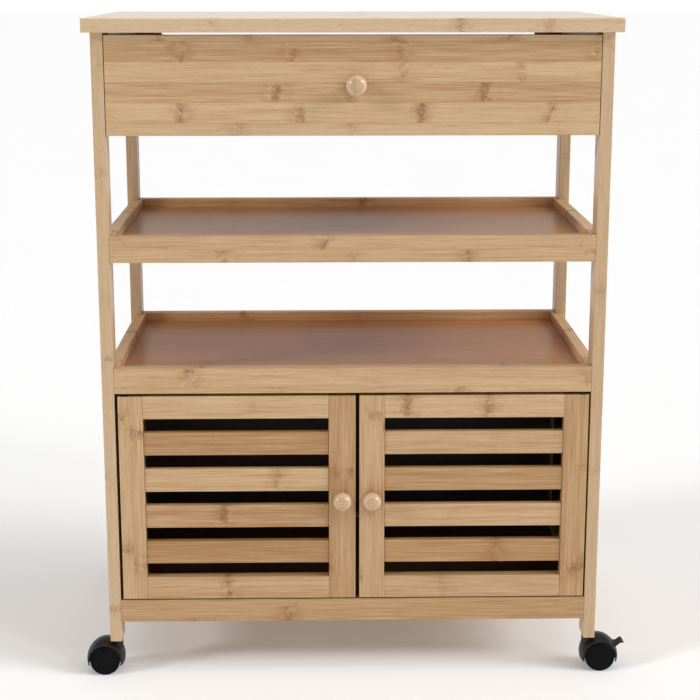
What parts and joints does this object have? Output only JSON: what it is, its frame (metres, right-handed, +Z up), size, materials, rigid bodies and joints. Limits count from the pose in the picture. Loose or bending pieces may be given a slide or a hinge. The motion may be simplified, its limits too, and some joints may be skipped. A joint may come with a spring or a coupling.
{
  "type": "rolling utility cart",
  "caption": "Rolling bamboo kitchen cart: worktop over a wide drawer, open trays, a cabinet with slatted doors, and swivelling hooded casters, some with a brake lever.",
  "frame": {"origin": "on the floor, under the middle of the whole cart's bounding box", "axes": "+X to the right seen from the front, +Y from the front to the back, +Z up"},
  "size_m": [0.7344, 0.3844, 0.869],
  "materials": {
    "bamboo": "satin clear-lacquered laminated bamboo",
    "tray_panel": "semi-gloss darker bamboo panel",
    "back_panel": "satin bamboo-faced thin panel",
    "zinc_steel": "zinc plated",
    "black_nylon": "matte black moulded nylon",
    "wheel_plastic": "black moulded wheel, fine satin",
    "magnet_case": "brown moulded plastic"
  },
  "bodies": {
    "frame": {"top_board": "bamboo", "leg_front_left": "bamboo", "leg_front_right": "bamboo", "leg_back_left": "bamboo", "leg_back_right": "bamboo", "drawer_bay_sides": "bamboo", "drawer_bay_back_rail": "bamboo", "top_corner_blocks": "bamboo", "upper_tray_front_rail": "bamboo", "upper_tray_back_rail": "bamboo", "upper_tray_side_rails": "bamboo", "upper_tray_panel": "tray_panel", "lower_tray_front_rail": "bamboo", "lower_tray_back_rail": "bamboo", "lower_tray_side_rails": "bamboo", "lower_tray_panel": "tray_panel", "base_front_rail": "bamboo", "base_back_rail": "bamboo", "base_side_rails": "bamboo", "cabinet_floor": "tray_panel", "cabinet_sides": "back_panel", "cabinet_back": "back_panel", "frame_bolts": "zinc_steel", "drawer_slide_channels": "zinc_steel", "door_pivot_pins": "zinc_steel", "door_magnets": "magnet_case", "caster_stems": "zinc_steel"},
    "drawer": {"drawer_front": "bamboo", "drawer_sides": "bamboo", "drawer_back": "bamboo", "drawer_bottom": "back_panel", "drawer_knob": "bamboo", "drawer_knob_screw": "zinc_steel", "drawer_slide_runners": "zinc_steel"},
    "left_door": {"left_door_hinge_stile": "bamboo", "left_door_meeting_stile": "bamboo", "left_door_rails": "bamboo", "left_door_slats": "bamboo", "left_door_knob": "bamboo", "left_door_knob_screw": "zinc_steel", "left_door_bushes": "black_nylon", "left_door_strike": "zinc_steel"},
    "right_door": {"right_door_hinge_stile": "bamboo", "right_door_meeting_stile": "bamboo", "right_door_rails": "bamboo", "right_door_slats": "bamboo", "right_door_knob": "bamboo", "right_door_knob_screw": "zinc_steel", "right_door_bushes": "black_nylon", "right_door_strike": "zinc_steel"},
    "front_left_caster": {"caster_front_left_hood": "black_nylon"},
    "front_left_wheels": {"caster_front_left_wheelset": "wheel_plastic"},
    "front_right_caster": {"caster_front_right_hood": "black_nylon"},
    "front_right_wheels": {"caster_front_right_wheelset": "wheel_plastic"},
    "front_right_brake": {"caster_front_right_brake_lever": "black_nylon"},
    "back_left_caster": {"caster_back_left_hood": "black_nylon"},
    "back_left_wheels": {"caster_back_left_wheelset": "wheel_plastic"},
    "back_left_brake": {"caster_back_left_brake_lever": "black_nylon"},
    "back_right_caster": {"caster_back_right_hood": "black_nylon"},
    "back_right_wheels": {"caster_back_right_wheelset": "wheel_plastic"}
  },
  "joints": [
    {"name": "drawer_slide", "type": "slide", "parent": "frame", "child": "drawer", "axis": [0, -1, 0], "range_m": [0, 0.24]},
    {"name": "left_door_swing", "type": "hinge", "parent": "frame", "child": "left_door", "pos_m": [-0.2976, -0.16275, 0.2474], "axis": [0, 0, -1], "range_deg": [0, 110]},
    {"name": "right_door_swing", "type": "hinge", "parent": "frame", "child": "right_door", "pos_m": [0.2992, -0.16275, 0.2474], "axis": [0, 0, 1], "range_deg": [0, 110]},
    {"name": "front_left_swivel", "type": "hinge", "parent": "frame", "child": "front_left_caster", "pos_m": [-0.31725, -0.15175, 0.035], "axis": [0, 0, 1], "continuous": true},
    {"name": "front_left_wheel_spin", "type": "hinge", "parent": "front_left_caster", "child": "front_left_wheels", "pos_m": [-0.33325, -0.15175, 0.02], "axis": [0, 1, 0], "continuous": true},
    {"name": "front_right_swivel", "type": "hinge", "parent": "frame", "child": "front_right_caster", "pos_m": [0.31725, -0.15175, 0.035], "axis": [0, 0, 1], "continuous": true},
    {"name": "front_right_wheel_spin", "type": "hinge", "parent": "front_right_caster", "child": "front_right_wheels", "pos_m": [0.33325, -0.15175, 0.02], "axis": [0, 1, 0], "continuous": true},
    {"name": "front_right_brake_press", "type": "hinge", "parent": "front_right_caster", "child": "front_right_brake", "pos_m": [0.3432, -0.15175, 0.02835], "axis": [0, 1, 0], "range_deg": [0, 14]},
    {"name": "back_left_swivel", "type": "hinge", "parent": "frame", "child": "back_left_caster", "pos_m": [-0.31725, 0.16625, 0.035], "axis": [0, 0, 1], "continuous": true},
    {"name": "back_left_wheel_spin", "type": "hinge", "parent": "back_left_caster", "child": "back_left_wheels", "pos_m": [-0.33325, 0.16625, 0.02], "axis": [0, 1, 0], "continuous": true},
    {"name": "back_left_brake_press", "type": "hinge", "parent": "back_left_caster", "child": "back_left_brake", "pos_m": [-0.3432, 0.16625, 0.02835], "axis": [0, -1, 0], "range_deg": [0, 14]},
    {"name": "back_right_swivel", "type": "hinge", "parent": "frame", "child": "back_right_caster", "pos_m": [0.31725, 0.16625, 0.035], "axis": [0, 0, 1], "continuous": true},
    {"name": "back_right_wheel_spin", "type": "hinge", "parent": "back_right_caster", "child": "back_right_wheels", "pos_m": [0.33325, 0.16625, 0.02], "axis": [0, 1, 0], "continuous": true}
  ]
}
